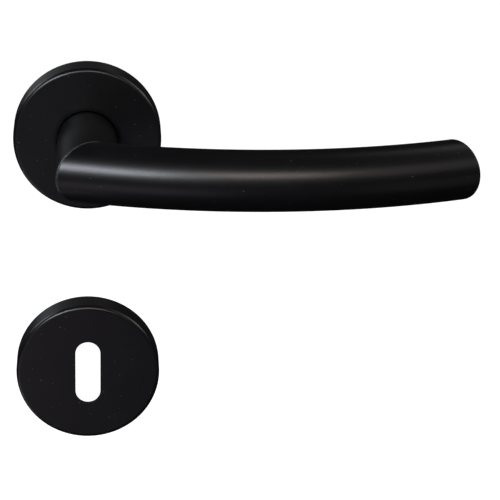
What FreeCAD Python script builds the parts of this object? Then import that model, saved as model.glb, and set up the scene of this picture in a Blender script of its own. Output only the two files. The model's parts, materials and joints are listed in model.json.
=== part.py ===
import FreeCAD, Part
import os
import re

import Sketcher

# Lever handle on a round rose with a separate round keyhole escutcheon, one door side.
# Frame: door face is the plane y = 0, +Y goes into the door, +Z is up, the grip points to +X,
# and the origin is on the spindle axis. All sizes are in millimetres and degrees.

SIZES = [
    # plates
    ("rose_radius", 26.0, "outer radius of both round covers"),
    ("rose_depth", 10.0, "covers stand this far off the door"),
    ("sheet_wall", 1.0, "covers are pressed from this sheet"),
    ("rim_round", 1.4, "outside rounding of the covers' front rim"),
    ("rim_inner_round", 0.5, "inside rounding of the covers' front rim"),
    ("plate_centres", 89.2, "spindle axis down to the keyhole centre"),
    ("neck_gap", 0.4, "radial gap between the neck and the rose cover"),
    ("slot_width", 9.0, "keyhole width"),
    ("slot_height", 24.0, "keyhole height"),
    # bent tube lever
    ("tube_radius", 10.5, "outer radius of neck and grip tube"),
    ("tube_wall", 1.5, "wall of that tube"),
    ("neck_length", 43.85, "door face to the mitre, on the neck axis"),
    ("neck_back", 8.9, "door face to the tube's back end"),
    ("start_angle", 14.6, "grip leans away from the door by this at the mitre"),
    ("grip_stub", 8.2, "straight length after the mitre"),
    ("bow_radius", 200.0, "centreline radius of the bowed grip"),
    ("bow_angle", 34.6, "angle the bow turns through, back towards the door"),
    ("bow_overrun", 3.0, "bent on by this before the oblique end is cut"),
    ("end_cut", 18.2, "tube end is cut this much beyond square"),
    ("end_round", 0.6, "rounding of the tube's free end"),
    ("seam_round", 0.3, "rounding along the mitre seam"),
    ("cap_thickness", 2.0, "plate that closes the free end"),
    ("cut_reach", 30.0, "the outlines that cut the tube's ends reach this far to each side"),
    # hub and spindle
    ("hub_front", 34.0, "door face to the hub's front end"),
    ("shoulder_back", 8.3, "back of the shoulder the tube seats on"),
    ("shoulder_radius", 10.4, "radius of that shoulder"),
    ("seat_back", 7.3, "back of the driver's seat on the hub"),
    ("seat_radius", 8.6, "round of the double-D seat"),
    ("seat_half_flat", 7.3, "half the distance across its flats"),
    ("journal_radius", 8.0, "hub where it turns in the bush"),
    ("journal_back", 0.4, "hub's back end stays this far off the door"),
    ("groove_front", 2.0, "front of the circlip groove"),
    ("groove_back", 0.8, "back of the circlip groove"),
    ("groove_radius", 7.1, "bottom of the circlip groove"),
    ("spindle_width", 8.0, "square spindle, across flats"),
    ("broach_width", 8.1, "square hole for it"),
    ("spindle_length", 90.0, "spindle end to end"),
    ("spindle_back", 57.0, "spindle end behind the door face"),
    ("spindle_chamfer", 0.8, "chamfer on both spindle ends"),
    ("grub_position", 18.0, "grub screw axis in front of the door face"),
    ("grub_radius", 3.0, "M6 grub screw"),
    ("grub_clear_radius", 3.3, "hole for it in the tube"),
    ("grub_outer", 9.7, "outer end of the grub screw, from the spindle axis"),
    ("grub_socket", 3.0, "hexagon socket, across flats"),
    ("grub_socket_depth", 2.6, "depth of that socket"),
    ("grub_tip_chamfer", 0.6, "chamfer at its inner end"),
    ("grub_rim_chamfer", 0.4, "chamfer at its outer end"),
    # carrier, bearing and return spring
    ("carrier_radius", 24.7, "outer radius of both carriers"),
    ("carrier_rim_inner", 22.9, "inside of their rims"),
    ("carrier_rim_front", 8.6, "rim height off the door"),
    ("carrier_floor", 2.6, "plate thickness"),
    ("channel_floor", 1.2, "plate under the spring channel"),
    ("centre_boss_radius", 11.4, "boss round the bearing"),
    ("centre_boss_front", 6.6, "front of that boss"),
    ("channel_wall_inner", 14.2, "inside of the wall round the spring"),
    ("channel_wall_outer", 15.2, "outside of that wall"),
    ("channel_wall_front", 7.0, "front of that wall"),
    ("bearing_hole", 9.0, "hole for the bush"),
    ("circlip_recess", 10.4, "recess at the back for washer and circlip"),
    ("bush_bore", 8.05, "bush bore, running on the journal"),
    ("bush_flange_radius", 11.2, "bush flange"),
    ("bush_flange_front", 7.2, "front of the bush flange"),
    ("washer_bore", 8.1, "thrust washer bore"),
    ("washer_radius", 10.2, "thrust washer outer radius"),
    ("washer_thickness", 0.5, "thrust washer thickness"),
    ("circlip_thickness", 1.1, "circlip thickness"),
    ("circlip_radius", 9.0, "circlip outer radius"),
    ("circlip_offset", 0.5, "circlip outside is off centre, away from its gap"),
    ("circlip_gap", 4.0, "width of the circlip's gap"),
    ("ear_radius", 1.45, "circlip ear"),
    ("ear_reach", 8.6, "circlip ear, from the axis"),
    ("ear_angle", 19.0, "circlip ears either side of the gap"),
    ("ear_hole", 0.7, "plier hole in the ear"),
    ("driver_radius", 11.0, "ring of the spring driver"),
    ("driver_reach", 16.2, "driver arm, from the axis"),
    ("driver_width", 4.0, "driver arm width"),
    ("driver_angle", 65.0, "driver arm at rest, from +X towards +Z"),
    ("driver_round", 0.8, "rounding of the arm's corners"),
    ("lever_travel", 40.0, "lever turns down by this"),
    ("stop_gap", 0.03, "gap between arm and stop at each end of the travel"),
    ("stop_width", 2.2, "width of a stop"),
    ("stop_root", 14.3, "stop starts this far from the axis, inside the channel wall"),
    ("stop_reach", 16.4, "stop, from the axis"),
    ("wire_radius", 0.6, "spring wire"),
    ("coil_radius", 12.6, "spring coil, to the wire's centre"),
    ("coil_back", 1.9, "rearmost turn, wire centre to door face"),
    ("coil_length", 4.6, "rearmost to foremost wire centre"),
    ("coil_turns", 3.5, "turns"),
    ("leg_hole", 0.75, "holes the two spring legs hook into"),
    ("front_leg", 1.6, "length of the leg in the driver"),
    ("back_leg", 1.6, "length of the leg in the carrier"),
    # fixings
    ("fixing_radius", 19.0, "bolts and screws, from the plate's axis"),
    ("boss_radius", 4.3, "boss round each fixing"),
    ("boss_front", 5.0, "front of those bosses"),
    ("bolt_hole", 2.25, "carrier hole for an M4 bolt"),
    ("bolt_head", 3.7, "bolt head radius"),
    ("bolt_neck", 1.55, "bolt shank under the head"),
    ("bolt_radius", 2.0, "bolt thread"),
    ("bolt_back", 45.0, "bolt end behind the door face"),
    ("screw_hole", 2.0, "carrier hole for a wood screw"),
    ("screw_head", 3.4, "wood screw head radius"),
    ("screw_neck", 1.5, "wood screw shank"),
    ("screw_radius", 1.75, "wood screw thread"),
    ("screw_back", 15.0, "wood screw point behind the door face"),
    ("screw_taper", 3.0, "length of its point"),
    ("screw_tip", 0.2, "radius left at the point"),
    ("shank_end", 0.6, "plain shanks end this far behind the door face"),
    ("recess_depth", 1.6, "cross recess depth"),
    ("recess_reach", 1.9, "cross recess, centre to wing tip"),
    ("recess_half", 0.4, "half width of a wing"),
    ("thread_chamfer", 0.5, "chamfer on the bolt's end"),
    # snap rings
    ("ring_centre", 24.35, "snap ring, to the wire's centre"),
    ("ring_wire", 0.55, "snap ring wire radius"),
    ("ring_position", 3.8, "snap ring groove, centre to door face"),
    ("ring_groove_half", 0.6, "half width of the groove"),
    ("ring_angle", 335.0, "arc the snap ring covers"),
    # escutcheon carrier
    ("keyway_width", 22.0, "opening through the escutcheon carrier"),
    ("keyway_height", 37.0, "height of that opening"),
]

doc = FreeCAD.newDocument("LeverHandleSet")
sizes = doc.addObject("Spreadsheet::Sheet", "Sizes")
for row, (alias, value, note) in enumerate(SIZES, start=1):
    sizes.set("A%d" % row, alias)
    sizes.set("B%d" % row, str(value))
    sizes.set("C%d" % row, note)
    sizes.setAlias("B%d" % row, alias)
doc.recompute()

ALIASES = {alias for alias, value, note in SIZES}
V = FreeCAD.Vector
Y_AXIS = FreeCAD.Rotation(V(1, 0, 0), -90)  # turns a primitive's own Z to +Y
QUARTER = 1.5707963267948966  # a quarter turn in radians
START = 10.0  # size that sketch curves are drawn at, before their constraints set them


def formula(text):
    """Names of sheet cells in the text become references to the sheet."""
    return re.sub(r"[a-z_]+", lambda m: "Sizes." + m[0] if m[0] in ALIASES else m[0], text)


def bind(target, **properties):
    """Tie each property to a formula of sheet cells. Two underscores stand for a dot."""
    for name, text in properties.items():
        target.setExpression(name.replace("__", "."), formula(text))


def polar(reach, angle, across="0"):
    """Sketch point at this reach along a ray, shifted across it, anticlockwise positive."""
    turn = "((%s) * 1deg)" % angle
    along = "(%s)" % reach
    side = "(%s)" % across
    x = "%s * cos(%s) - %s * sin(%s)" % (along, turn, side, turn)
    y = "%s * sin(%s) + %s * cos(%s)" % (along, turn, side, turn)
    return x, y


def new_body(label):
    body = doc.addObject("PartDesign::Body", label)
    body.Label = label
    return body


def new_sketch(body, name, plane, offset=None):
    sketch = body.newObject("Sketcher::SketchObject", name)
    origin_plane = [f for f in body.Origin.OriginFeatures if f.Role == plane][0]
    sketch.AttachmentSupport = [(origin_plane, "")]
    sketch.MapMode = "FlatFace"
    if offset:
        bind(sketch, AttachmentOffset__Base__z=offset)
    return sketch


def constrain(sketch, kind, where, text):
    index = sketch.addConstraint(Sketcher.Constraint(kind, *where, 1.0))
    sketch.setExpression("Constraints[%d]" % index, formula(text))


def place_point(sketch, edge, point, x, y):
    """Fix a point of the sketch at signed distances from the sketch's origin."""
    constrain(sketch, "DistanceX", (-1, 1, edge, point), x)
    constrain(sketch, "DistanceY", (-1, 1, edge, point), y)


def polygon(sketch, points):
    """A closed outline through the points, each given as two formulas."""
    first = sketch.GeometryCount
    count = len(points)
    ring = Part.makeCircle(START).discretize(count + 1)
    for i in range(count):
        sketch.addGeometry(Part.LineSegment(ring[i], ring[(i + 1) % count]))
    for i in range(count):
        join = (first + i, 2, first + (i + 1) % count, 1)
        sketch.addConstraint(Sketcher.Constraint("Coincident", *join))
    for i, (x, y) in enumerate(points):
        place_point(sketch, first + i, 1, x, y)


def circle(sketch, x, y, radius):
    index = sketch.addGeometry(Part.Circle(V(0, 0, 0), V(0, 0, 1), START))
    place_point(sketch, index, 3, x, y)
    constrain(sketch, "Radius", (index,), radius)


def tube_section(sketch, radius):
    """A circle about the sketch's origin, drawn as two halves that meet above and below it."""
    rim = Part.Circle(V(0, 0, 0), V(0, 0, 1), START)
    right = sketch.addGeometry(Part.ArcOfCircle(rim, -QUARTER, QUARTER))
    left = sketch.addGeometry(Part.ArcOfCircle(rim, QUARTER, 3 * QUARTER))
    sketch.addConstraint([
        Sketcher.Constraint("Coincident", right, 3, -1, 1),
        Sketcher.Constraint("PointOnObject", right, 1, -2),
        Sketcher.Constraint("PointOnObject", right, 2, -2),
        Sketcher.Constraint("Coincident", right, 2, left, 1),
        Sketcher.Constraint("Coincident", left, 2, right, 1),
        Sketcher.Constraint("PointOnObject", left, 3, -2),
    ])
    constrain(sketch, "Radius", (right,), radius)


def finish_feature(body, feature):
    body.Tip = feature
    doc.recompute()
    if not feature.isValid() or feature.Shape.isNull():
        raise RuntimeError("%s of %s fails: %s" % (feature.Label, body.Label, feature.State))
    return feature


def turned(body, outline, plane="YZ_Plane", axis="H_Axis"):
    """Turn an outline of (along, radius) points about the body's Y axis."""
    sketch = new_sketch(body, "profile", plane)
    polygon(sketch, outline)
    solid = body.newObject("PartDesign::Revolution", "turned")
    solid.Profile = sketch
    solid.ReferenceAxis = (sketch, [axis])
    solid.Angle = 360
    return finish_feature(body, solid)


def pad(body, sketch, length, reverse=False):
    solid = body.newObject("PartDesign::Pad", "pad")
    solid.Profile = sketch
    solid.Reversed = reverse
    bind(solid, Length=length)
    return finish_feature(body, solid)


def pocket(body, sketch, length=None, reverse=False):
    """Cut the sketch to a depth, or right through both ways when no length is given."""
    before = body.Shape.Volume
    cut = body.newObject("PartDesign::Pocket", "pocket")
    cut.Profile = sketch
    if length:
        cut.Reversed = reverse
        bind(cut, Length=length)
    else:
        cut.Type = "ThroughAll"
        cut.Midplane = True
    finish_feature(body, cut)
    if body.Shape.Volume >= before - 1e-6:
        raise RuntimeError("a pocket of %s cuts nothing" % body.Label)
    return cut


def cut_upright_slot(body, width, height):
    """Cut a slot with round ends through the plate: its straight stretch, then its two ends."""
    half, reach = width + " / 2", "(%s - %s) / 2" % (height, width)
    straight = new_sketch(body, "slot_straight", "XZ_Plane")
    polygon(straight, [
        ("-" + half, "-" + reach), (half, "-" + reach), (half, reach), ("-" + half, reach),
    ])
    pocket(body, straight)
    round_ends = new_sketch(body, "slot_ends", "XZ_Plane")
    circle(round_ends, "0", reach, half)
    circle(round_ends, "0", "-" + reach, half)
    pocket(body, round_ends)


def edges(feature, test):
    """Names of the feature's edges that pass the test."""
    found = ["Edge%d" % i for i, e in enumerate(feature.Shape.Edges, start=1) if test(e)]
    if not found:
        raise RuntimeError("no edge found on %s" % feature.Label)
    return found


def rounded(body, feature, test, radius):
    fillet = body.newObject("PartDesign::Fillet", "fillet")
    fillet.Base = (feature, edges(feature, test))
    bind(fillet, Radius=radius)
    return finish_feature(body, fillet)


def chamfered(body, feature, test, size):
    chamfer = body.newObject("PartDesign::Chamfer", "chamfer")
    chamfer.Base = (feature, edges(feature, test))
    bind(chamfer, Size=size)
    return finish_feature(body, chamfer)


def ring_edge(radius, y):
    """Test for a full circle of this radius about a Y line at this height."""
    def test(edge):
        curve = edge.Curve
        if not hasattr(curve, "Radius") or abs(abs(curve.Axis.y) - 1) > 1e-6:
            return False
        return abs(curve.Radius - radius) < 1e-4 and abs(curve.Center.y - y) < 1e-4
    return test


def primitive(kind, name, turn=None, **properties):
    solid = doc.addObject(kind, name)
    if turn:
        solid.Placement = FreeCAD.Placement(V(0, 0, 0), turn)
    bind(solid, **properties)
    return solid


def boolean(kind, name, first, second):
    """Part::Cut or Part::Common of two objects."""
    result = doc.addObject(kind, name)
    result.Base = first
    result.Tool = second
    return result


def fused(name, shapes):
    result = doc.addObject("Part::MultiFuse", name)
    result.Shapes = shapes
    return result


def lowered(target):
    """Move an escutcheon piece down to the keyhole."""
    bind(target, Placement__Base__z="-plate_centres")
    doc.recompute()


# Round covers: pressed cups with a rounded rim.

def cover(label, bore):
    body = new_body(label)
    front = "-rose_depth"
    inside = "-rose_depth + sheet_wall"
    skirt = "rose_radius - sheet_wall"
    outline = [
        (front, bore), (front, "rose_radius"), ("0", "rose_radius"),
        ("0", skirt), (inside, skirt), (inside, bore),
    ]
    shell = turned(body, outline)
    depth, radius, wall = sizes.rose_depth, sizes.rose_radius, sizes.sheet_wall
    shell = rounded(body, shell, ring_edge(radius, -depth), "rim_round")
    rounded(body, shell, ring_edge(radius - wall, wall - depth), "rim_inner_round")
    return body


def make_covers():
    rose_cover = cover("rose_cover", "tube_radius + neck_gap")
    escutcheon_cover = cover("escutcheon_cover", "0")
    cut_upright_slot(escutcheon_cover, "slot_width", "slot_height")
    lowered(escutcheon_cover)
    return [rose_cover, escutcheon_cover]


# Lever: two lengths of one tube joined at a mitre, closed at the free end.

def outer_end(point, direction):
    """Test for the outer edge of a tube end that lies in the plane through this axis point."""
    def test(edge):
        middle = edge.valueAt((edge.FirstParameter + edge.LastParameter) / 2)
        places = [v.Point for v in edge.Vertexes] + [middle]
        if any(abs((p - point).dot(direction)) > 1e-3 for p in places):
            return False
        return (middle - point).Length > sizes.tube_radius - sizes.tube_wall / 2
    return test


def make_neck():
    body = new_body("lever_neck")
    inner = "tube_radius - tube_wall"
    front = "-neck_length - 2 * tube_radius"
    outline = [
        (front, inner), (front, "tube_radius"), ("-neck_back", "tube_radius"), ("-neck_back", inner),
    ]
    turned(body, outline)
    rise = "cut_reach * tan((90 - start_angle) / 2 * 1deg)"
    far = "-neck_length - 3 * cut_reach"
    mitre = new_sketch(body, "mitre", "XY_Plane")
    polygon(mitre, [
        ("-cut_reach", "-neck_length - " + rise), ("cut_reach", "-neck_length + " + rise),
        ("cut_reach", far), ("-cut_reach", far),
    ])
    tube = pocket(body, mitre)
    angle = FreeCAD.Rotation(V(0, 0, 1), (90 - sizes.start_angle) / 2)
    seam = outer_end(V(0, -sizes.neck_length, 0), angle.multVec(V(0, 1, 0)))
    rounded(body, tube, seam, "seam_round")
    hole = new_sketch(body, "grub_hole", "XY_Plane")
    circle(hole, "0", "-grub_position", "grub_clear_radius")
    pocket(body, hole, "2 * tube_radius")
    return body


def bow(body, radii):
    """The bowed length with its overrun, as a full or hollow round section."""
    section = new_sketch(body, "section", "YZ_Plane", "grip_stub")
    for radius in radii:
        tube_section(section, radius)
    pivot = section.addGeometry(Part.LineSegment(V(START, -START, 0), V(START, START, 0)), True)
    place_point(section, pivot, 1, "bow_radius", "-tube_radius")
    place_point(section, pivot, 2, "bow_radius", "tube_radius")
    tube = body.newObject("PartDesign::Revolution", "bow")
    tube.Profile = section
    tube.ReferenceAxis = (section, ["Axis0"])
    bind(tube, Angle="bow_angle + bow_overrun")
    return finish_feature(body, tube)


def end_outline(setback, side, reach):
    """Outline that cuts along the oblique end, set back from it, on the free or the tube side."""
    tip_x = "(grip_stub + bow_radius * sin(bow_angle * 1deg))"
    tip_y = "(bow_radius * (1 - cos(bow_angle * 1deg)))"
    across = "((bow_angle + end_cut) * 1deg)"
    corners = []
    for along, sideways in (("0", "-1"), ("2", "-1"), ("2", "1"), ("0", "1")):
        out = "(%s * %s * %s - %s)" % (side, along, reach, setback)
        off = "(%s * %s)" % (sideways, reach)
        corners.append((
            "%s + %s * cos(%s) - %s * sin(%s)" % (tip_x, out, across, off, across),
            "%s + %s * sin(%s) + %s * cos(%s)" % (tip_y, out, across, off, across),
        ))
    return corners


def place_grip(body):
    """The grip is drawn along its own X from the mitre, then leant away from the door."""
    body.Placement.Rotation = FreeCAD.Rotation(V(0, 0, 1), -sizes.start_angle)
    bind(body, Placement__Base__y="-neck_length", Placement__Rotation__Angle="start_angle * 1deg")
    body.Placement.Rotation.Axis = V(0, 0, -1)
    doc.recompute()


def make_grip():
    body = new_body("lever_grip")
    radii = ("tube_radius", "tube_radius - tube_wall")
    bow(body, radii)
    for name, length, reverse in (("stub", "grip_stub", False), ("overrun", "cut_reach", True)):
        ring = new_sketch(body, name, "YZ_Plane")
        for radius in radii:
            tube_section(ring, radius)
        pad(body, ring, length, reverse)
    turn = "((90 + start_angle) / 2 * 1deg)"
    near = ("cut_reach * cos(%s)" % turn, "cut_reach * sin(%s)" % turn)
    far = ("-" + near[0], "-" + near[1])
    back = " - 3 * cut_reach"
    mitre = new_sketch(body, "mitre", "XY_Plane")
    polygon(mitre, [near, far, (far[0] + back, far[1]), (near[0] + back, near[1])])
    tube = pocket(body, mitre)
    angle = FreeCAD.Rotation(V(0, 0, 1), (90 + sizes.start_angle) / 2)
    tube = rounded(body, tube, outer_end(V(0, 0, 0), angle.multVec(V(0, 1, 0))), "seam_round")
    end = new_sketch(body, "end_cut", "XY_Plane")
    polygon(end, end_outline("0", "1", "cut_reach"))
    tube = pocket(body, end)
    bow_turn = FreeCAD.Rotation(V(0, 0, 1), sizes.bow_angle)
    centre = V(sizes.grip_stub, sizes.bow_radius, 0)
    tip = centre + bow_turn.multVec(V(0, -sizes.bow_radius, 0))
    outward = FreeCAD.Rotation(V(0, 0, 1), sizes.bow_angle + sizes.end_cut).multVec(V(1, 0, 0))
    rounded(body, tube, outer_end(tip, outward), "end_round")
    place_grip(body)
    return body


def make_end_cap():
    body = new_body("grip_end_cap")
    bow(body, ("tube_radius - tube_wall",))
    start = new_sketch(body, "cap_start", "XY_Plane")
    polygon(start, end_outline("cap_thickness", "-1", "bow_radius"))
    pocket(body, start)
    end = new_sketch(body, "end_cut", "XY_Plane")
    polygon(end, end_outline("0", "1", "cut_reach"))
    pocket(body, end)
    place_grip(body)
    return body


# Hub, grub screw and square spindle.

def make_hub():
    body = new_body("lever_hub")
    bore = "tube_radius - tube_wall"
    outline = [
        ("-hub_front", "0"), ("-hub_front", bore), ("-neck_back", bore),
        ("-neck_back", "shoulder_radius"), ("-shoulder_back", "shoulder_radius"),
        ("-shoulder_back", "seat_radius"), ("-seat_back", "seat_radius"),
        ("-seat_back", "journal_radius"), ("-groove_front", "journal_radius"),
        ("-groove_front", "groove_radius"), ("-groove_back", "groove_radius"),
        ("-groove_back", "journal_radius"), ("-journal_back", "journal_radius"),
        ("-journal_back", "0"),
    ]
    turned(body, outline)
    flats = new_sketch(body, "flats", "XY_Plane")
    for side in ("", "-"):
        inner, outer = side + "seat_half_flat", side + "shoulder_radius"
        polygon(flats, [
            (inner, "-shoulder_back"), (outer, "-shoulder_back"),
            (outer, "-seat_back"), (inner, "-seat_back"),
        ])
    pocket(body, flats)
    broach = new_sketch(body, "broach", "XZ_Plane")
    half = "broach_width / 2"
    polygon(broach, [("-" + half, "-" + half), (half, "-" + half), (half, half), ("-" + half, half)])
    pocket(body, broach)
    hole = new_sketch(body, "grub_hole", "XY_Plane")
    circle(hole, "0", "-grub_position", "grub_radius")
    pocket(body, hole, "2 * tube_radius")
    return body


def make_grub_screw():
    body = new_body("grub_screw")
    tip = "-spindle_width / 2"
    outline = [
        ("0", tip), ("grub_radius - grub_tip_chamfer", tip),
        ("grub_radius", tip + " - grub_tip_chamfer"), ("grub_radius", "grub_rim_chamfer - grub_outer"),
        ("grub_radius - grub_rim_chamfer", "-grub_outer"), ("0", "-grub_outer"),
    ]
    turned(body, outline, "XZ_Plane", "V_Axis")
    socket = new_sketch(body, "socket", "XY_Plane", "-grub_outer")
    corner = "grub_socket / 2 / cos(30 * 1deg)"
    polygon(socket, [polar(corner, str(60 * i)) for i in range(6)])
    pocket(body, socket, "grub_socket_depth", reverse=True)
    bind(body, Placement__Base__y="-grub_position")
    return body


def make_spindle():
    body = new_body("spindle")
    section = new_sketch(body, "section", "XZ_Plane", "-spindle_back")
    half = "spindle_width / 2"
    polygon(section, [("-" + half, "-" + half), (half, "-" + half), (half, half), ("-" + half, half)])
    bar = pad(body, section, "spindle_length")
    ends = (sizes.spindle_back, sizes.spindle_back - sizes.spindle_length)

    def end_edge(edge):
        return any(all(abs(v.Point.y - y) < 1e-4 for v in edge.Vertexes) for y in ends)
    chamfered(body, bar, end_edge, "spindle_chamfer")
    return body


# Bearing: flanged bush, thrust washer, circlip.

def make_bush():
    body = new_body("neck_bush")
    turned(body, [
        ("-bush_flange_front", "bush_bore"), ("-bush_flange_front", "bush_flange_radius"),
        ("-centre_boss_front", "bush_flange_radius"), ("-centre_boss_front", "bearing_hole"),
        ("-carrier_floor", "bearing_hole"), ("-carrier_floor", "bush_bore"),
    ])
    return body


def make_washer():
    body = new_body("thrust_washer")
    back = "washer_thickness - carrier_floor"
    turned(body, [
        ("-carrier_floor", "washer_bore"), ("-carrier_floor", "washer_radius"),
        (back, "washer_radius"), (back, "washer_bore"),
    ])
    return body


def make_circlip():
    """External circlip: eccentric ring with two ears beside its gap."""
    front = "-(groove_front + groove_back + circlip_thickness) / 2"
    at_front = dict(Placement__Base__y=front, Height="circlip_thickness")
    outside = primitive(
        "Part::Cylinder", "circlip_outside", Y_AXIS,
        Radius="circlip_radius", Placement__Base__z="circlip_offset", **at_front)
    parts, holes = [outside], []
    for side, name in (("", "right"), ("-", "left")):
        spot = dict(
            Placement__Base__x=side + "ear_reach * sin(ear_angle * 1deg)",
            Placement__Base__z="-ear_reach * cos(ear_angle * 1deg)")
        parts.append(primitive(
            "Part::Cylinder", "ear_" + name, Y_AXIS, Radius="ear_radius", **at_front, **spot))
        holes.append(primitive(
            "Part::Cylinder", "ear_hole_" + name, Y_AXIS, Radius="ear_hole", **at_front, **spot))
    inside = primitive(
        "Part::Cylinder", "circlip_inside", Y_AXIS, Radius="groove_radius", **at_front)
    gap = primitive(
        "Part::Box", "circlip_gap", None, Length="circlip_gap", Width="circlip_thickness",
        Height="2 * circlip_radius", Placement__Base__x="-circlip_gap / 2",
        Placement__Base__y=front, Placement__Base__z="-2 * circlip_radius")
    ring = boolean("Part::Cut", "circlip", fused("ring_and_ears", parts),
                   fused("circlip_cuts", holes + [inside, gap]))
    ring.Label = "circlip"
    doc.recompute()
    return ring


# Return spring and the driver that winds it.

def make_driver():
    """Stamped plate: a ring on the hub's double-D with an arm that holds the spring's front leg."""
    thickness = "shoulder_back - seat_back"
    at_front = dict(Placement__Base__y="-shoulder_back", Height=thickness)
    disc = primitive("Part::Cylinder", "driver_disc", Y_AXIS, Radius="driver_radius", **at_front)
    arm = new_body("driver_arm")
    outline = new_sketch(arm, "arm", "XZ_Plane", "seat_back")
    half = "driver_width / 2"
    polygon(outline, [
        polar("seat_radius", "driver_angle", "-" + half), polar("driver_reach", "driver_angle", "-" + half),
        polar("driver_reach", "driver_angle", half), polar("seat_radius", "driver_angle", half),
    ])
    plate = pad(arm, outline, thickness)
    height = sizes.shoulder_back - sizes.seat_back

    def nose_corner(edge):
        return abs(edge.Length - height) < 1e-4 and edge.CenterOfMass.Length > sizes.driver_radius
    rounded(arm, plate, nose_corner, "driver_round")
    bore = primitive("Part::Cylinder", "seat_round", Y_AXIS, Radius="seat_radius", **at_front)
    flats = primitive(
        "Part::Box", "seat_flats", None, Length="2 * seat_half_flat", Width=thickness,
        Height="4 * seat_radius", Placement__Base__x="-seat_half_flat",
        Placement__Base__y="-shoulder_back", Placement__Base__z="-2 * seat_radius")
    double_d = boolean("Part::Common", "double_d", bore, flats)
    x, z = polar("coil_radius", "driver_angle")
    leg_hole = primitive(
        "Part::Cylinder", "driver_leg_hole", Y_AXIS, Radius="leg_hole",
        Placement__Base__x=x, Placement__Base__z=z, **at_front)
    driver = boolean("Part::Cut", "spring_driver", fused("driver_blank", [disc, arm]),
                     fused("driver_cuts", [double_d, leg_hole]))
    driver.Label = "spring_driver"
    doc.recompute()
    return driver


def make_spring():
    """Torsion spring: close coil round the bearing boss with an axial leg at each end."""
    wire = sizes.wire_radius
    radius, turns = sizes.coil_radius, sizes.coil_turns
    length = sizes.coil_length
    back_angle = sizes.driver_angle + 360 * turns
    helix = Part.makeHelix(length / turns, length, radius)
    slope = length / (turns * 4 * QUARTER * radius)
    section = Part.Wire(Part.makeCircle(wire, V(radius, 0, 0), V(0, 1, slope)))
    coil = Part.Wire(helix).makePipeShell([section], True, True)

    def leg(point, reach):
        return Part.makeCylinder(wire, reach, point, V(0, 0, 1)).fuse(Part.makeSphere(wire, point))
    start = V(radius, 0, 0)
    end = FreeCAD.Rotation(V(0, 0, 1), 360 * turns).multVec(start) + V(0, 0, length)
    back_leg = Part.makeCylinder(wire, sizes.back_leg, start - V(0, 0, sizes.back_leg))
    shape = coil.fuse([leg(end, sizes.front_leg), back_leg.fuse(Part.makeSphere(wire, start))])
    spring = doc.addObject("Part::Feature", "return_spring")
    spring.Label = "return_spring"
    spring.Shape = shape.removeSplitter()
    upright = FreeCAD.Rotation(V(1, 0, 0), 90)
    turn = FreeCAD.Rotation(V(0, 1, 0), -back_angle)
    spring.Placement = FreeCAD.Placement(V(0, -sizes.coil_back, 0), turn * upright)
    return spring


# Carriers screwed to the door, with the snap rings that hold the covers.

def rim_outline():
    """Outer wall of a carrier with its snap ring groove, from the door face to the front."""
    groove = "ring_centre - ring_wire"
    return [
        ("0", "carrier_radius"), ("ring_groove_half - ring_position", "carrier_radius"),
        ("ring_groove_half - ring_position", groove), ("-ring_groove_half - ring_position", groove),
        ("-ring_groove_half - ring_position", "carrier_radius"),
        ("-carrier_rim_front", "carrier_radius"), ("-carrier_rim_front", "carrier_rim_inner"),
        ("-carrier_floor", "carrier_rim_inner"),
    ]


def fixing_bosses(body, spots, name):
    bosses = new_sketch(body, name + "_bosses", "XZ_Plane")
    for x, z in spots:
        circle(bosses, x, z, "boss_radius")
    pad(body, bosses, "boss_front")


def fixing_holes(body, spots, name, hole, head):
    """Countersunk holes through the bosses."""
    drilled = new_sketch(body, name + "_holes", "XZ_Plane")
    for x, z in spots:
        circle(drilled, x, z, hole)
    plate = pocket(body, drilled)
    rim = ring_edge(getattr(sizes, hole), -sizes.boss_front)
    chamfered(body, plate, rim, "%s - %s" % (head, hole))


def make_rose_carrier():
    body = new_body("rose_carrier")
    outline = rim_outline() + [
        ("-carrier_floor", "channel_wall_outer"), ("-channel_wall_front", "channel_wall_outer"),
        ("-channel_wall_front", "channel_wall_inner"), ("-channel_floor", "channel_wall_inner"),
        ("-channel_floor", "centre_boss_radius"), ("-centre_boss_front", "centre_boss_radius"),
        ("-centre_boss_front", "bearing_hole"), ("-carrier_floor", "bearing_hole"),
        ("-carrier_floor", "circlip_recess"), ("0", "circlip_recess"),
    ]
    turned(body, outline)
    stops = new_sketch(body, "stops", "XZ_Plane")
    for angle, side in (("driver_angle", ""), ("(driver_angle - lever_travel)", "-")):
        near = side + "(driver_width / 2 + stop_gap)"
        far = side + "(driver_width / 2 + stop_gap + stop_width)"
        polygon(stops, [
            polar("stop_root", angle, near), polar("stop_reach", angle, near),
            polar("stop_reach", angle, far), polar("stop_root", angle, far),
        ])
    pad(body, stops, "shoulder_back")
    level = [("fixing_radius", "0"), ("-fixing_radius", "0")]
    diagonal = [polar("fixing_radius", "135"), polar("fixing_radius", "315")]
    fixing_bosses(body, level + diagonal, "rose")
    fixing_holes(body, level, "bolt", "bolt_hole", "bolt_head")
    fixing_holes(body, diagonal, "screw", "screw_hole", "screw_head")
    leg = new_sketch(body, "leg_hole", "XZ_Plane")
    circle(leg, *polar("coil_radius", "driver_angle + 360 * coil_turns"), "leg_hole")
    pocket(body, leg, "channel_floor", reverse=True)
    return body


def make_escutcheon_carrier():
    body = new_body("escutcheon_carrier")
    turned(body, rim_outline() + [("-carrier_floor", "0"), ("0", "0")])
    level = [("fixing_radius", "0"), ("-fixing_radius", "0")]
    fixing_bosses(body, level, "escutcheon")
    fixing_holes(body, level, "screw", "screw_hole", "screw_head")
    cut_upright_slot(body, "keyway_width", "keyway_height")
    lowered(body)
    return body


def snap_ring(label):
    ring = primitive(
        "Part::Torus", label, Y_AXIS, Radius1="ring_centre", Radius2="ring_wire",
        Angle3="ring_angle", Placement__Base__y="-ring_position")
    ring.Label = label
    doc.recompute()
    return ring


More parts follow.
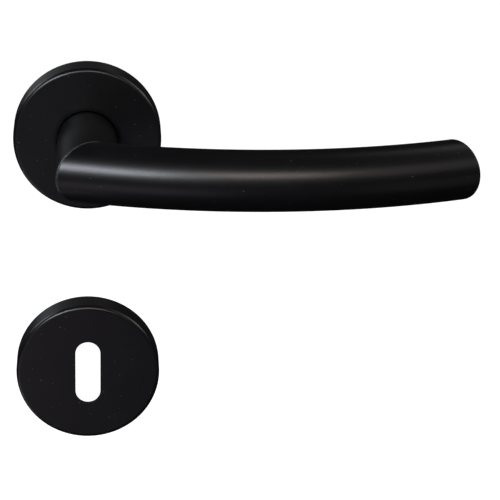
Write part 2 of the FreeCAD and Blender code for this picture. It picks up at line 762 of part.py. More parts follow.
def make_snap_rings():
    rose_ring = snap_ring("rose_snap_ring")
    escutcheon_ring = snap_ring("escutcheon_snap_ring")
    lowered(escutcheon_ring)
    return [rose_ring, escutcheon_ring]


# Fixings: countersunk, with a cross recess.

def countersunk(name, shank, x, z):
    """One screw along Y at this place. The shank is its head and neck radius and its outline."""
    head, neck, rest = shank
    body = new_body(name)
    cone_end = "-boss_front + %s - %s" % (head, neck)
    turned(body, [("-boss_front", "0"), ("-boss_front", head), (cone_end, neck)] + rest)
    recess = new_sketch(body, "recess", "XZ_Plane", "boss_front")
    reach, half = "recess_reach", "recess_half"
    corners = []
    for angle in ("0", "90", "180", "270"):
        corners += [polar(reach, angle, "-" + half), polar(reach, angle, half), polar(half, angle, half)]
    polygon(recess, corners)
    pocket(body, recess, "recess_depth")
    bind(body, Placement__Base__x=x, Placement__Base__z=z)
    return body


def fixing_group(label, shank, spots, drop="0"):
    pieces = [
        countersunk("%s_%d" % (label, i), shank, x, "%s - %s" % (z, drop))
        for i, (x, z) in enumerate(spots, start=1)
    ]
    group = doc.addObject("Part::Compound", label)
    group.Label = label
    group.Links = pieces
    doc.recompute()
    return group


def make_fixings():
    bolt = ("bolt_head", "bolt_neck", [
        ("shank_end", "bolt_neck"), ("shank_end", "bolt_radius"),
        ("bolt_back - thread_chamfer", "bolt_radius"), ("bolt_back", "bolt_radius - thread_chamfer"),
        ("bolt_back", "0"),
    ])
    screw = ("screw_head", "screw_neck", [
        ("shank_end", "screw_neck"), ("shank_end", "screw_radius"),
        ("screw_back - screw_taper", "screw_radius"), ("screw_back", "screw_tip"), ("screw_back", "0"),
    ])
    level = [("fixing_radius", "0"), ("-fixing_radius", "0")]
    diagonal = [polar("fixing_radius", "135"), polar("fixing_radius", "315")]
    return [
        fixing_group("rose_bolts", bolt, level),
        fixing_group("rose_wood_screws", screw, diagonal),
        fixing_group("escutcheon_screws", screw, level, "plate_centres"),
    ]


def check_document():
    for item in doc.Objects:
        bad = [s for s in item.State if s in ("Invalid", "Error")]
        if bad:
            raise RuntimeError("%s is %s" % (item.Label, bad))


def write_nodes(nodes):
    os.makedirs("parts", exist_ok=True)
    for node in nodes:
        shape = node.Shape
        if shape.isNull() or not shape.isValid() or shape.Volume <= 0:
            raise RuntimeError("%s has no sound solid" % node.Label)
        shape.exportStep("parts/%s.step" % node.Label)
        box = shape.BoundBox
        print("%-22s %2d solid(s) %9.1f mm3  x %.1f %.1f  y %.1f %.1f  z %.1f %.1f" % (
            node.Label, len(shape.Solids), shape.Volume,
            box.XMin, box.XMax, box.YMin, box.YMax, box.ZMin, box.ZMax))


all_nodes = make_covers()
all_nodes += [make_neck(), make_grip(), make_end_cap()]
all_nodes += [make_hub(), make_grub_screw(), make_spindle()]
all_nodes += [make_bush(), make_washer(), make_circlip()]
all_nodes += [make_driver(), make_spring()]
all_nodes += [make_rose_carrier(), make_escutcheon_carrier()]
all_nodes += make_snap_rings() + make_fixings()
doc.recompute()
check_document()
write_nodes(all_nodes)
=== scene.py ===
import json
import math

import bmesh
import bpy
from mathutils import Matrix, Vector

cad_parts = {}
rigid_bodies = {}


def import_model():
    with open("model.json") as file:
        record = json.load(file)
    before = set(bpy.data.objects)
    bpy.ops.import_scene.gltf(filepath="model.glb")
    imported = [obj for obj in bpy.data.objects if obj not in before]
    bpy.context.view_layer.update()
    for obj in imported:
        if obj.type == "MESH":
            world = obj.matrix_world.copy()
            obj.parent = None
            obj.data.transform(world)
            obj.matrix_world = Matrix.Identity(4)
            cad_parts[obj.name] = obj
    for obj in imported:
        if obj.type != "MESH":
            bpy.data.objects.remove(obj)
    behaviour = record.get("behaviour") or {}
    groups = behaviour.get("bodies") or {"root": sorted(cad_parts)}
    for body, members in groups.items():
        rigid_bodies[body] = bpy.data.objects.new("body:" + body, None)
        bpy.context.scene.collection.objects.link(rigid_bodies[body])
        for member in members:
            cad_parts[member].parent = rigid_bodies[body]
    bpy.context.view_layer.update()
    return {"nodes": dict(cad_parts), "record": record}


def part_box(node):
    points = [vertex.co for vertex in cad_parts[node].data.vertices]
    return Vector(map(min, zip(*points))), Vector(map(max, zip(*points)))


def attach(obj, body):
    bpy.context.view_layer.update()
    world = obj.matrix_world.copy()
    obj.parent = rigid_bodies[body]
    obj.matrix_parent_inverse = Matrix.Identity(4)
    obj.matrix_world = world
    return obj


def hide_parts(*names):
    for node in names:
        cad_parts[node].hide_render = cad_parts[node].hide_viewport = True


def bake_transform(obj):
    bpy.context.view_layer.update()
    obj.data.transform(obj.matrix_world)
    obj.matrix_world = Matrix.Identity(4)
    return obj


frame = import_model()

# Lever handle set in satin black, seen from the room side. Metres, in the row's frame.

nodes = frame["nodes"]
MOUNTS = {mount["name"]: mount for mount in frame["record"]["mounts"]}
SLOTS = {part["node"]: part["material_slot"] for part in frame["record"]["subparts"]}
MM = 0.001
TAU = 2 * math.pi


# ---------------------------------------------------------------- materials

class Surface:
    """A Principled material with its texture nodes, all in the piece's own coordinates."""

    def __init__(self, name, base, roughness, metallic=0.0, **sockets):
        self.material = bpy.data.materials.new(name)
        self.material.use_nodes = True
        self.material.diffuse_color = (*base, 1)
        self.tree = self.material.node_tree
        self.tree.nodes.clear()
        self.shader = self.node("ShaderNodeBsdfPrincipled")
        self.shader.inputs["Base Color"].default_value = (*base, 1)
        self.shader.inputs["Roughness"].default_value = roughness
        self.shader.inputs["Metallic"].default_value = metallic
        for socket, value in sockets.items():
            self.shader.inputs[socket.replace("_", " ")].default_value = value
        output = self.node("ShaderNodeOutputMaterial")
        self.link(self.shader.outputs["BSDF"], output.inputs["Surface"])
        self.place = self.node("ShaderNodeTexCoord").outputs["Object"]

    def node(self, kind, **settings):
        made = self.tree.nodes.new(kind)
        for name, value in settings.items():
            setattr(made, name, value)
        return made

    def link(self, source, target):
        self.tree.links.new(source, target)

    def math(self, operation, *values):
        """A Math node whose inputs are numbers or sockets."""
        made = self.node("ShaderNodeMath", operation=operation)
        for index, value in enumerate(values):
            if isinstance(value, (int, float)):
                made.inputs[index].default_value = value
            else:
                self.link(value, made.inputs[index])
        return made.outputs[0]

    def noise(self, scale, detail, rough, stretch=None):
        """Noise value, with this many grains to the metre. A stretch below 1 draws them out."""
        made = self.node("ShaderNodeTexNoise")
        made.inputs["Scale"].default_value = scale
        made.inputs["Detail"].default_value = detail
        made.inputs["Roughness"].default_value = rough
        source = self.place
        if stretch:
            mapping = self.node("ShaderNodeMapping")
            mapping.inputs["Scale"].default_value = stretch
            self.link(source, mapping.inputs["Vector"])
            source = mapping.outputs["Vector"]
        self.link(source, made.inputs["Vector"])
        return made.outputs[0]

    def ramp(self, value, *stops):
        """Value mapped through (place, level) stops, where a level is a number or a colour."""
        made = self.node("ShaderNodeValToRGB")
        elements = made.color_ramp.elements
        while len(elements) < len(stops):
            elements.new(0.5)
        for element, (place, level) in zip(elements, stops):
            element.position = place
            colour = level if isinstance(level, tuple) else (level, level, level)
            element.color = (*colour, 1)
        self.link(value, made.inputs["Fac"])
        return made.outputs["Color"]

    def mix(self, factor, first, second):
        """The first colour where the factor is 0 and the second where it is 1."""
        made = self.node("ShaderNodeMix", data_type="RGBA")
        self.link(factor, made.inputs["Factor"])
        for letter, value in (("A", first), ("B", second)):
            target = next(s for s in made.inputs if s.name == letter and s.type == "RGBA")
            if isinstance(value, tuple):
                target.default_value = (*value, 1)
            else:
                self.link(value, target)
        return next(s for s in made.outputs if s.type == "RGBA")

    def spots(self, scale, share, radius):
        """1 on sparse round dots: this many cells to the metre, this share of them with a dot."""
        cells = self.node("ShaderNodeTexVoronoi")
        cells.inputs["Scale"].default_value = scale
        self.link(self.place, cells.inputs["Vector"])
        near = self.math("LESS_THAN", cells.outputs["Distance"], radius * scale)
        chosen = self.node("ShaderNodeSeparateColor")
        self.link(cells.outputs["Color"], chosen.inputs["Color"])
        lucky = self.math("LESS_THAN", chosen.outputs["Red"], share)
        return self.math("MULTIPLY", near, lucky)

    def edge(self, radius, full=0.82, none=0.985):
        """1 where the surface turns within this radius, 0 on open faces.

        full and none are the cosines of the turn at which the mask reaches 1 and 0.
        """
        bevel = self.node("ShaderNodeBevel", samples=4)
        bevel.inputs["Radius"].default_value = radius
        geometry = self.node("ShaderNodeNewGeometry")
        turn = self.node("ShaderNodeVectorMath", operation="DOT_PRODUCT")
        self.link(bevel.outputs["Normal"], turn.inputs[0])
        self.link(geometry.outputs["Normal"], turn.inputs[1])
        return self.ramp(turn.outputs["Value"], (full, 1.0), (none, 0.0))

    def painted_gap_shade(self, reach):
        """Mask for painted shade: 1 deep in a gap narrower than this, 0 on open faces."""
        open_sky = self.node("ShaderNodeAmbientOcclusion", samples=6)
        open_sky.inputs["Distance"].default_value = reach
        return self.ramp(open_sky.outputs["AO"], (0.48, 1.0), (0.93, 0.0))

    def lathe_lines(self, scale):
        """Fine rings about the Y axis, on end faces and on round sides alike."""
        split = self.node("ShaderNodeSeparateXYZ")
        self.link(self.place, split.inputs["Vector"])
        x_squared = self.math("MULTIPLY", split.outputs["X"], split.outputs["X"])
        z_squared = self.math("MULTIPLY", split.outputs["Z"], split.outputs["Z"])
        reach = self.math("SQRT", self.math("ADD", x_squared, z_squared))
        made = self.node("ShaderNodeTexNoise", noise_dimensions="1D")
        made.inputs["Scale"].default_value = scale
        made.inputs["Detail"].default_value = 3.0
        self.link(self.math("ADD", reach, split.outputs["Y"]), made.inputs["W"])
        return made.outputs[0]

    def colour(self, source):
        self.link(source, self.shader.inputs["Base Color"])

    def rough(self, source):
        self.link(source, self.shader.inputs["Roughness"])

    def bump(self, *layers):
        """Stacked bump layers, each (height, strength, distance)."""
        normal = None
        for height, strength, distance in layers:
            made = self.node("ShaderNodeBump")
            made.inputs["Strength"].default_value = strength
            made.inputs["Distance"].default_value = distance
            self.link(height, made.inputs["Height"])
            if normal:
                self.link(normal, made.inputs["Normal"])
            normal = made.outputs["Normal"]
        self.link(normal, self.shader.inputs["Normal"])


def black_coat(name, edge_wear_and_highlight_colour, edge_width, **edge_turn):
    """Satin black powder coat with a little dust, lighter along the edges and darkened in the gaps by
    painted shade. The edge colour is wear on the covers, and wear with a painted highlight on the
    lever.
    """
    look = Surface(name, (0.012, 0.0115, 0.013), 0.40, Specular_IOR_Level=0.5)
    cloud = look.noise(55, 4, 0.6)
    grain = look.noise(5200, 2, 0.6)
    fine = look.noise(1600, 3, 0.65)
    # Painted shade: gaps narrower than 2.2 mm are darkened.
    gap = look.painted_gap_shade(2.2 * MM)
    open_air = look.math("SUBTRACT", 1.0, gap)
    patches = look.ramp(look.noise(420, 4, 0.7), (0.34, 0.3), (0.62, 1.0))
    # Edge colour: wear on the covers; on the lever, wear and a painted highlight line along the edges
    # and the mitre seam.
    edge_wear_and_highlight_mask = look.math("MULTIPLY", look.edge(edge_width, **edge_turn), patches)
    edge_wear_and_highlight = look.math("MULTIPLY", look.math("MULTIPLY", edge_wear_and_highlight_mask, 0.8), open_air)
    dust = look.spots(450, 0.55, 0.14 * MM)

    base = look.ramp(cloud, (0.30, (0.0026, 0.0024, 0.0029)), (0.70, (0.0043, 0.0041, 0.0047)))
    speckles = look.ramp(grain, (0.35, 0.0), (0.75, 0.45))
    speckled = look.mix(speckles, base, (0.0085, 0.0080, 0.0090))
    with_edge_wear_and_highlight = look.mix(edge_wear_and_highlight, speckled, edge_wear_and_highlight_colour)
    dusty = look.mix(look.math("MULTIPLY", dust, 0.7), with_edge_wear_and_highlight, (0.18, 0.175, 0.17))
    # Painted shade: the colour goes near black and the reflection drops in the gaps.
    look.colour(look.mix(gap, dusty, (0.001, 0.001, 0.001)))
    look.link(look.math("MULTIPLY", open_air, 0.5), look.shader.inputs["Specular IOR Level"])

    satin = look.ramp(cloud, (0.30, 0.30), (0.70, 0.33))
    matt = look.mix(look.ramp(fine, (0.35, 0.0), (0.70, 0.6)), satin, (0.36, 0.36, 0.36))
    look.rough(look.mix(dust, matt, (0.8, 0.8, 0.8)))
    look.bump((fine, 0.10, 0.03 * MM), (grain, 0.12, 0.012 * MM), (dust, 0.4, 0.05 * MM))
    return look.material


def galvanised():
    """Zinc-coated carrier plate: cloudy and streaky, brighter along the stamped edges."""
    look = Surface("galvanised_carrier", (0.60, 0.62, 0.64), 0.42, metallic=1.0)
    cloud = look.noise(130, 3, 0.6)
    sand = look.noise(2600, 3, 0.7)
    streak = look.noise(600, 3, 0.6, stretch=(1.0, 1.0, 0.15))
    base = look.ramp(cloud, (0.30, (0.50, 0.515, 0.535)), (0.70, (0.66, 0.67, 0.68)))
    dull = look.mix(look.ramp(streak, (0.45, 0.0), (0.75, 0.7)), base, (0.43, 0.44, 0.45))
    look.colour(look.mix(look.math("MULTIPLY", look.edge(0.3 * MM), 0.5), dull, (0.80, 0.81, 0.82)))
    look.rough(look.ramp(look.noise(300, 4, 0.65), (0.30, 0.34), (0.75, 0.56)))
    look.bump((sand, 0.25, 0.03 * MM), (cloud, 0.2, 0.10 * MM))
    return look.material


def nylon():
    """Off-white moulded nylon with faint turning lines."""
    look = Surface("bearing_nylon", (0.82, 0.81, 0.76), 0.45, Specular_IOR_Level=0.45)
    cloud = look.noise(260, 3, 0.5)
    look.colour(look.ramp(cloud, (0.30, (0.77, 0.76, 0.70)), (0.75, (0.86, 0.85, 0.80))))
    look.rough(look.ramp(look.noise(900, 2, 0.5), (0.3, 0.38), (0.7, 0.52)))
    look.bump((look.noise(3000, 2, 0.5), 0.12, 0.02 * MM), (look.lathe_lines(900), 0.15, 0.02 * MM))
    return look.material


def spring_steel():
    """Oiled wire and stamped rings, dark and patchy."""
    look = Surface("spring_steel", (0.30, 0.30, 0.31), 0.32, metallic=1.0)
    cloud = look.noise(420, 3, 0.6)
    look.colour(look.ramp(cloud, (0.30, (0.22, 0.215, 0.21)), (0.72, (0.40, 0.40, 0.41))))
    look.rough(look.ramp(look.noise(1500, 3, 0.6), (0.30, 0.24), (0.75, 0.42)))
    look.bump((look.noise(5000, 2, 0.6), 0.15, 0.01 * MM))
    return look.material


def turned_steel():
    """Bright turned steel with tool rings, darkened in narrow gaps by painted shade."""
    look = Surface("turned_steel", (0.52, 0.52, 0.53), 0.30, metallic=1.0)
    lines = look.lathe_lines(7000)
    cloud = look.noise(160, 3, 0.6)
    base = look.ramp(cloud, (0.30, (0.44, 0.44, 0.445)), (0.75, (0.60, 0.60, 0.605)))
    turned = look.mix(look.ramp(lines, (0.4, 0.0), (0.8, 0.5)), base, (0.36, 0.355, 0.35))
    # Painted shade: near black in gaps narrower than 3 mm.
    look.colour(look.mix(look.painted_gap_shade(3.0 * MM), turned, (0.012, 0.012, 0.012)))
    look.rough(look.ramp(look.noise(700, 3, 0.6), (0.30, 0.26), (0.75, 0.42)))
    look.bump((lines, 0.25, 0.02 * MM), (look.noise(3500, 2, 0.6), 0.08, 0.01 * MM))
    return look.material


def zinc_plated():
    """Blue-bright zinc plate, with a yellow tinge in places and drawing lines along Y."""
    look = Surface("zinc_plated_steel", (0.66, 0.68, 0.71), 0.27, metallic=1.0)
    cloud = look.noise(210, 3, 0.55)
    drawn = look.noise(2400, 3, 0.65, stretch=(1.0, 0.04, 1.0))
    blue, clear, yellow = (0.62, 0.66, 0.74), (0.70, 0.71, 0.72), (0.72, 0.70, 0.64)
    tint = look.ramp(cloud, (0.28, blue), (0.5, clear), (0.75, yellow))
    look.colour(look.mix(look.ramp(drawn, (0.45, 0.0), (0.80, 0.5)), tint, (0.48, 0.49, 0.51)))
    look.rough(look.ramp(look.noise(900, 3, 0.6), (0.30, 0.24), (0.78, 0.36)))
    look.bump((drawn, 0.12, 0.010 * MM), (look.noise(3500, 2, 0.6), 0.04, 0.01 * MM))
    return look.material


def black_oxide():
    """Blackened steel, rubbed bare along the edges."""
    look = Surface("black_oxide_steel", (0.045, 0.045, 0.047), 0.38, metallic=0.6)
    cloud = look.noise(700, 3, 0.6)
    base = look.ramp(cloud, (0.3, (0.030, 0.030, 0.033)), (0.7, (0.062, 0.060, 0.058)))
    look.colour(look.mix(look.math("MULTIPLY", look.edge(0.25 * MM), 0.6), base, (0.20, 0.195, 0.19)))
    look.rough(look.ramp(look.noise(1800, 3, 0.6), (0.3, 0.30), (0.75, 0.50)))
    look.bump((look.noise(4200, 2, 0.6), 0.15, 0.012 * MM))
    return look.material


FINISHES = {
    "black_coat": black_coat("black_coat", (0.10, 0.095, 0.09), 0.35 * MM),
    "galvanised_carrier": galvanised(),
    "bearing_nylon": nylon(),
    "spring_steel": spring_steel(),
    "turned_steel": turned_steel(),
    "zinc_plated_steel": zinc_plated(),
    "black_oxide_steel": black_oxide(),
}
# The lever's coat is given a much brighter edge colour than the covers' coat: wear from hands, and a
# painted highlight line along its edges and the mitre seam.
lever_coat_with_edge_highlight = black_coat(
    "black_coat_edge_highlight", (0.46, 0.45, 0.43), 0.42 * MM, full=0.88, none=0.992)
LEVER_PIECES = ("lever_neck", "lever_grip", "grip_end_cap")
for name, node in nodes.items():
    node.data.materials.clear()
    node.data.materials.append(lever_coat_with_edge_highlight if name in LEVER_PIECES else FINISHES[SLOTS[name]])


# ---------------------------------------------------------------- detailed pieces

def add_piece(name, shape, finish, stands_for, sharp=35):
    """A finished piece from a bmesh, in place of a CAD node."""
    bmesh.ops.recalc_face_normals(shape, faces=shape.faces)
    mesh = bpy.data.meshes.new(name)
    shape.to_mesh(mesh)
    shape.free()
    mesh.shade_smooth()
    mesh.set_sharp_from_angle(angle=math.radians(sharp))
    mesh.materials.append(FINISHES[finish])
    piece = bpy.data.objects.new(name, mesh)
    bpy.context.scene.collection.objects.link(piece)
    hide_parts(stands_for)
    return piece


def walls(shape, rings):
    """Faces between each ring of vertices and the next, all with the same count."""
    for first, second in zip(rings, rings[1:]):
        for i in range(len(first)):
            j = (i + 1) % len(first)
            shape.faces.new((first[i], first[j], second[j], second[i]))


def capped_tube(shape, rings):
    """A tube through the rings, closed at both ends."""
    walls(shape, rings)
    shape.faces.new(rings[0])
    shape.faces.new(reversed(rings[-1]))


def thread_height(phase, width):
    """1 on the crest and 0 in the root of a thread whose ridge takes this share of the pitch."""
    steepness = 1.35
    from_crest = abs(2 * phase - 1)
    level = min(1.0, max(0.0, (1 - from_crest / width) * steepness))
    return level * level * (3 - 2 * level)


def threaded_bar(shape, stations, pitch, ridge, columns, place):
    """Solid of revolution along local Y through (along, radius, thread depth) stations."""
    rings = []
    for along, radius, depth in stations:
        ring = []
        for i in range(columns):
            angle = TAU * i / columns
            height = thread_height((along / pitch + i / columns) % 1.0, ridge) if depth else 1.0
            reach = radius - depth * (1 - height)
            point = Vector((reach * math.cos(angle), along, reach * math.sin(angle))) * MM
            ring.append(shape.verts.new(place @ point))
        rings.append(ring)
    capped_tube(shape, rings)


def thread_stations(start, end, root, crest, pitch, rows, tip, tip_length):
    """Stations of a thread that grows over its first turn and runs out towards its tip."""
    run_out = 0.7
    stations = []
    count = round((end - start) / pitch * rows)
    for k in range(count + 1):
        along = start + (end - start) * k / count
        grown = min(1.0, (along - start) / pitch)
        faded = min(1.0, max(0.0, (end - along) / tip_length))
        core = root + (tip - root) * (1 - faded)
        depth = (crest - root) * grown * faded ** run_out
        stations.append((along, core + depth, depth))
    return stations


def tapered_prism(outline, sections, point):
    """Cutter: the outline scaled at each (along, scale), with a flat top and a point below."""
    shape = bmesh.new()
    rings = [
        [shape.verts.new(Vector((x * scale, along, z * scale)) * MM) for x, z in outline]
        for along, scale in sections
    ]
    walls(shape, rings)
    shape.faces.new(rings[0])
    bottom = shape.verts.new(Vector((0, point, 0)) * MM)
    last = rings[-1]
    for i in range(len(last)):
        shape.faces.new((last[i], last[(i + 1) % len(last)], bottom))
    bmesh.ops.recalc_face_normals(shape, faces=shape.faces)
    return shape


def carved(shape, cutter, place):
    """The shape less the cutter set in this place, as a new bmesh."""
    objects = []
    for part in (shape, cutter):
        bmesh.ops.recalc_face_normals(part, faces=part.faces)
        mesh = bpy.data.meshes.new("carving")
        part.to_mesh(mesh)
        part.free()
        objects.append(bpy.data.objects.new("carving", mesh))
        bpy.context.scene.collection.objects.link(objects[-1])
    blank, tool = objects
    tool.data.transform(place)
    cut = blank.modifiers.new("cut", "BOOLEAN")
    cut.object = tool
    cut.operation = "DIFFERENCE"
    cut.solver = "EXACT"
    result = bmesh.new()
    result.from_object(blank, bpy.context.evaluated_depsgraph_get())
    for used in objects:
        bpy.data.objects.remove(used)
    return result


# Sizes of the screws and of the spring are in millimetres. A cutter starts this far outside its piece.
CUT_PAST = 0.3


def cross_outline(reach, half):
    """Twelve corners of a cross."""
    corners = []
    for k in range(4):
        turn = Matrix.Rotation(TAU * k / 4, 2)
        corners += [turn @ Vector(p) for p in ((reach, -half), (reach, half), (half, half))]
    return [(p.x, p.y) for p in corners]


def screw_head(front, head, neck, shank_end):
    """Stations of a countersunk head: a soft rim, the cone, its rounded foot and the plain shank."""
    soft = 0.08
    cone_end = front + head - neck
    foot_front, foot_out, foot_back = 0.12, 0.13, 0.10
    return [
        (front, head - 2 * soft, 0),
        (front + soft, head - soft, 0),
        (front + 2 * soft, head - 2 * soft, 0),
        (cone_end - foot_front, neck + foot_out, 0),
        (cone_end + foot_back, neck, 0),
        (shank_end, neck, 0),
    ]


def screws(name, mount, first_angle, head, neck, root, pitch, ridge, tip, tip_length):
    """Countersunk cross-recess screws on a mount's bolt circle, in place of its CAD node."""
    pattern = MOUNTS[mount]["dims"]
    x_middle, _, z_middle = MOUNTS[mount]["pos_m"]
    low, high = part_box(mount)
    front, end = low.y / MM, high.y / MM
    shank_end, thread_start = 0.6, 0.62
    rows_per_turn, columns = 8, 32
    stations = screw_head(front, head, neck, shank_end)
    stations += thread_stations(
        thread_start, end, root, pattern["stud_r_mm"], pitch, rows_per_turn, tip, tip_length)

    wing_reach, wing_half, wing_depth, point_depth = 1.9, 0.42, 1.45, 1.9
    mouth, foot = 1.08, 0.52
    recess = cross_outline(wing_reach, wing_half)
    sections = ((front - CUT_PAST, mouth), (front, 1.0), (front + wing_depth, foot))
    fixing = bmesh.new()
    for k in range(pattern["count"]):
        angle = math.radians(first_angle) + TAU * k / pattern["count"]
        reach = pattern["pcd_mm"] / 2 * MM
        place = Matrix.Translation(
            (x_middle + reach * math.cos(angle), 0, z_middle + reach * math.sin(angle)))
        one = bmesh.new()
        threaded_bar(one, stations, pitch, ridge, columns, place)
        one = carved(one, tapered_prism(recess, sections, front + point_depth), place)
        mesh = bpy.data.meshes.new("one")
        one.to_mesh(mesh)
        one.free()
        fixing.from_mesh(mesh)
        bpy.data.meshes.remove(mesh)
    piece = add_piece(name, fixing, "zinc_plated_steel", mount)
    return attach(piece, "door_side")


M4_BOLT = dict(
    head=3.7, neck=1.55, root=1.57, pitch=0.7, ridge=0.95, tip=1.45, tip_length=0.8)
WOOD_SCREW = dict(
    head=3.4, neck=1.5, root=1.15, pitch=1.6, ridge=0.45, tip=0.18, tip_length=3.6)
screws("rose_bolt_threads", "rose_bolts", 0, **M4_BOLT)
screws("rose_screw_threads", "rose_wood_screws", 135, **WOOD_SCREW)
screws("escutcheon_screw_threads", "escutcheon_screws", 0, **WOOD_SCREW)


def make_grub_screw():
    """M6 grub screw below the spindle: flat inner tip, thread, hexagon socket at its outer end."""
    low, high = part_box("grub_screw")
    inner, outer = -high.z / MM, -low.z / MM
    across = Vector((0, (low.y + high.y) / 2, 0))
    place = Matrix.Translation(across) @ Matrix.Rotation(-math.pi / 2, 4, "X")
    root, crest, pitch, ridge = 2.5, 2.99, 1.0, 0.95
    tip, rim, chamfer = 2.30, 2.45, 0.2
    thread_start, thread_end = inner + 0.3, outer - 0.1
    run_out_core, run_out_length = 2.6, 0.5
    rows_per_turn, columns = 10, 40
    stations = [(inner, tip, 0), (inner + chamfer, root, 0)]
    stations += thread_stations(thread_start, thread_end, root, crest, pitch, rows_per_turn,
                                run_out_core, run_out_length)
    stations += [(outer, rim, 0)]
    bar = bmesh.new()
    threaded_bar(bar, stations, pitch, ridge, columns, place)

    half_flats, floor_depth, point_depth = 1.5, 2.4, 2.6
    corner = half_flats / math.cos(TAU / 12)
    hexagon = [(corner * math.cos(TAU * k / 6), corner * math.sin(TAU * k / 6)) for k in range(6)]
    sections = ((outer + CUT_PAST, 1.0), (outer, 1.0), (outer - floor_depth, 1.0))
    socketed = carved(bar, tapered_prism(hexagon, sections, outer - point_depth), place)
    piece = add_piece("grub_screw_threads", socketed, "black_oxide_steel", "grub_screw")
    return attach(piece, "lever")


make_grub_screw()


def swept_wire(points, radius, sides):
    """Round wire along the points, narrowed at both ends."""
    narrowed = 0.7
    shape = bmesh.new()
    tangents = [
        (points[min(i + 1, len(points) - 1)] - points[max(i - 1, 0)]).normalized()
        for i in range(len(points))
    ]
    side = tangents[0].orthogonal().normalized()
    rings = []
    for i, (point, tangent) in enumerate(zip(points, tangents)):
        side = (side - tangent * side.dot(tangent)).normalized()
        other = tangent.cross(side)
        reach = radius * (narrowed if i in (0, len(points) - 1) else 1.0)
        ring = []
        for k in range(sides):
            angle = TAU * k / sides
            offset = (side * math.cos(angle) + other * math.sin(angle)) * reach
            ring.append(shape.verts.new((point + offset) * MM))
        rings.append(ring)
    capped_tube(shape, rings)
    return shape


def make_spring():
    """Torsion spring of round wire: 3.5 turns between two axial legs, with a bend at each."""
    wire, reach, turns = 0.6, 12.6, 3.5
    back, front = -1.9, -6.5
    front_angle = math.radians(65)
    back_angle = front_angle + TAU * turns
    leg, dome, bend, bend_lead = 1.55, 0.08, 0.9, 0.2
    coil_steps, bend_steps, wire_sides = 260, 8, 14

    def on_coil(share):
        """Point this share of the way from the back end of the coil to the front."""
        angle = back_angle + (front_angle - back_angle) * share
        along = back + (front - back) * share
        return Vector((reach * math.cos(angle), along, reach * math.sin(angle)))

    def bent(first, corner, last):
        """Points from the first to the last, round the corner between them."""
        return [
            (1 - t) ** 2 * first + 2 * t * (1 - t) * corner + t * t * last
            for t in (k / bend_steps for k in range(bend_steps + 1))
        ]

    skip = bend / (reach * TAU * turns)
    start, end = on_coil(0), on_coil(1)
    out = Vector((0, 1, 0))
    leg_stops = (leg, leg - dome, bend + bend_lead)
    points = [start + out * stop for stop in leg_stops]
    points += bent(start + out * bend, start, on_coil(skip))
    points += [on_coil(skip + (1 - 2 * skip) * k / coil_steps) for k in range(1, coil_steps)]
    points += bent(on_coil(1 - skip), end, end - out * bend)
    points += [end - out * stop for stop in reversed(leg_stops)]
    coil = swept_wire(points, wire, wire_sides)
    piece = add_piece("return_spring_coil", coil, "spring_steel", "return_spring", sharp=60)
    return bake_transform(piece)


make_spring()


# ---------------------------------------------------------------- camera

LENS = 173.69
CAMERA_AT = Vector((3.138, -814.29, 271.04)) * MM
YAW, PITCH, ROLL = math.radians(3.907), math.radians(21.182), math.radians(1.342)

ahead = Vector((math.sin(YAW) * math.cos(PITCH), math.cos(YAW) * math.cos(PITCH), -math.sin(PITCH)))
right = Vector((math.cos(YAW), -math.sin(YAW), 0))
up = right.cross(ahead)
right_rolled = math.cos(ROLL) * right + math.sin(ROLL) * up
up_rolled = math.cos(ROLL) * up - math.sin(ROLL) * right
lens = bpy.data.cameras.new("camera")
lens.lens = LENS
lens.sensor_width = 36.0
lens.clip_start, lens.clip_end = 0.05, 20.0
camera = bpy.data.objects.new("camera", lens)
turned = Matrix((right_rolled, up_rolled, -ahead)).transposed().to_4x4()
camera.matrix_world = Matrix.Translation(CAMERA_AT) @ turned
bpy.context.scene.collection.objects.link(camera)
bpy.context.scene.camera = camera


# ---------------------------------------------------------------- lights

LIGHT_TARGET = Vector((40, -40, -10)) * MM


def softbox(name, azimuth, elevation, distance, width, height, watts, colour, receivers):
    """A soft light facing the lever, in degrees and metres, that lights its receivers only.

    Azimuth 0 is in front and positive to the right.
    """
    turn, lift = math.radians(azimuth), math.radians(elevation)
    level = math.cos(lift)
    back = Vector((math.sin(turn) * level, -math.cos(turn) * level, math.sin(lift)))
    light = bpy.data.lights.new(name, "AREA")
    light.shape = "RECTANGLE"
    light.size, light.size_y = width, height
    light.energy = watts
    light.color = colour
    holder = bpy.data.objects.new(name, light)
    facing = (-back).to_track_quat("-Z", "Y").to_matrix().to_4x4()
    holder.matrix_world = Matrix.Translation(LIGHT_TARGET + back * distance) @ facing
    holder.visible_camera = False
    holder.light_linking.receiver_collection = receivers
    bpy.context.scene.collection.objects.link(holder)


# Bare metal shows only what it mirrors, so it has a ring of softboxes of its own, and the lights
# for the black coat leave it alone. The covers' round sides mirror what stands low behind them,
# and the neck in front of them must not, so the light there is for the covers only.
covers = bpy.data.collections.new("covers")
coated = bpy.data.collections.new("coated")
bare_metal = bpy.data.collections.new("bare_metal")
not_metal = (FINISHES["black_coat"], lever_coat_with_edge_highlight, FINISHES["bearing_nylon"])
for piece in bpy.context.scene.objects:
    if piece.type == "MESH":
        (coated if piece.data.materials[0] in not_metal else bare_metal).objects.link(piece)
for name in ("rose_cover", "escutcheon_cover"):
    covers.objects.link(nodes[name])

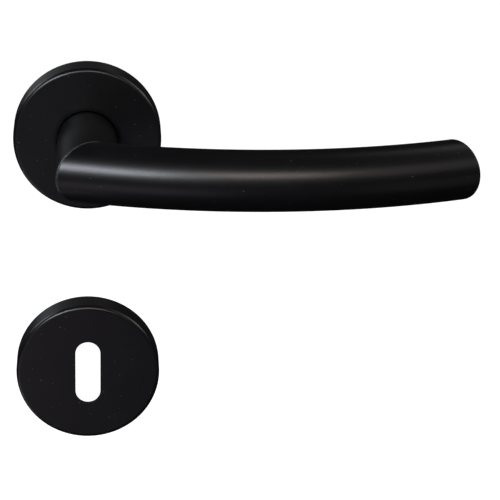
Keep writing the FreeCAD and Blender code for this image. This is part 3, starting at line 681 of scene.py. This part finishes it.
# Name, azimuth, elevation, distance, width, height, watts and colour.
COAT_LIGHTS = (
    ("window_left", -34, 31, 1.3, 0.66, 0.36, 12.0, (0.86, 0.92, 1.0)),
    ("lamp_middle", 6, 38, 1.3, 0.50, 0.28, 3.4, (1.0, 0.87, 0.80)),
    ("fill_right", 46, 34, 1.5, 0.80, 0.70, 0.9, (1.0, 0.94, 0.88)),
    ("fill_edge", -76, -48, 0.48, 0.25, 0.15, 0.13, (0.97, 0.94, 1.0)),
    ("fill_low", -34, -30, 0.6, 0.50, 0.24, 0.17, (1.0, 0.88, 1.08)),
    ("fill_low_right", 44, -19, 0.7, 0.40, 0.36, 0.07, (1.0, 0.92, 0.94)),
    ("fill_face", -14, -20, 0.8, 0.50, 0.30, 0.044, (1.0, 0.86, 1.06)),
    ("side_right", 96, 26, 1.4, 0.90, 0.35, 2.4, (1.0, 0.98, 0.95)),
    ("back_left", -132, 22, 1.5, 0.60, 0.50, 4.0, (0.90, 0.94, 1.0)),
    ("back_right", 118, 34, 1.5, 0.70, 0.70, 2.5, (1.0, 0.98, 0.95)),
    ("top_right", 138, 50, 1.4, 0.50, 0.50, 0.45, (1.0, 0.95, 0.88)),
)
for settings in COAT_LIGHTS:
    softbox(*settings, coated)
softbox("rim_back", -170, 5, 1.3, 0.9, 0.35, 0.24, (0.94, 0.96, 1.0), covers)

WHITE = (1.0, 1.0, 1.0)
RING_COUNT = 6
RING_STEP = 360 / RING_COUNT
for k in range(RING_COUNT):
    low_turn, high_turn = RING_STEP * k, RING_STEP * (k + 0.5)
    softbox(f"metal_low_{k}", low_turn, -12, 1.2, 1.0, 0.5, 1.1, WHITE, bare_metal)
    softbox(f"metal_high_{k}", high_turn, 42, 1.2, 1.0, 0.5, 1.6, WHITE, bare_metal)


# ---------------------------------------------------------------- studio

SHADE_LIGHT = 0.011
FLOOR_Z, FLOOR_REACH, FLOOR_GLOW = -0.42, 6.0, 0.91

world = bpy.data.worlds.new("studio")
bpy.context.scene.world = world
world.use_nodes = True
tree = world.node_tree
tree.nodes.clear()


def background(colour, strength):
    """Output of a Background node of this colour and strength."""
    made = tree.nodes.new("ShaderNodeBackground")
    made.inputs["Color"].default_value = (*colour, 1)
    made.inputs["Strength"].default_value = strength
    return made.outputs["Background"]


# The camera sees white all round, and the pieces get only a trace of light from it.
world_out = tree.nodes.new("ShaderNodeOutputWorld")
path = tree.nodes.new("ShaderNodeLightPath")
choose = tree.nodes.new("ShaderNodeMixShader")
tree.links.new(path.outputs["Is Camera Ray"], choose.inputs["Fac"])
tree.links.new(background((0.95, 0.96, 1.0), SHADE_LIGHT), choose.inputs[1])
tree.links.new(background(WHITE, 1.0), choose.inputs[2])
tree.links.new(choose.outputs["Shader"], world_out.inputs["Surface"])

floor_mesh = bpy.data.meshes.new("floor")
sheet = bmesh.new()
bmesh.ops.create_grid(sheet, x_segments=8, y_segments=8, size=FLOOR_REACH)
sheet.to_mesh(floor_mesh)
sheet.free()
floor = bpy.data.objects.new("floor", floor_mesh)
floor.location.z = FLOOR_Z
bpy.context.scene.collection.objects.link(floor)
paper = Surface("floor_paper", (0.86, 0.86, 0.86), 0.9)
paper.shader.inputs["Emission Color"].default_value = (*WHITE, 1)
paper.shader.inputs["Emission Strength"].default_value = FLOOR_GLOW
paper.bump((paper.noise(60, 3, 0.6), 0.05, 0.2 * MM))
floor_mesh.materials.append(paper.material)
coated.objects.link(floor)
floor.visible_glossy = False
floor.visible_diffuse = False
bpy.context.scene.view_settings.view_transform = "Standard"
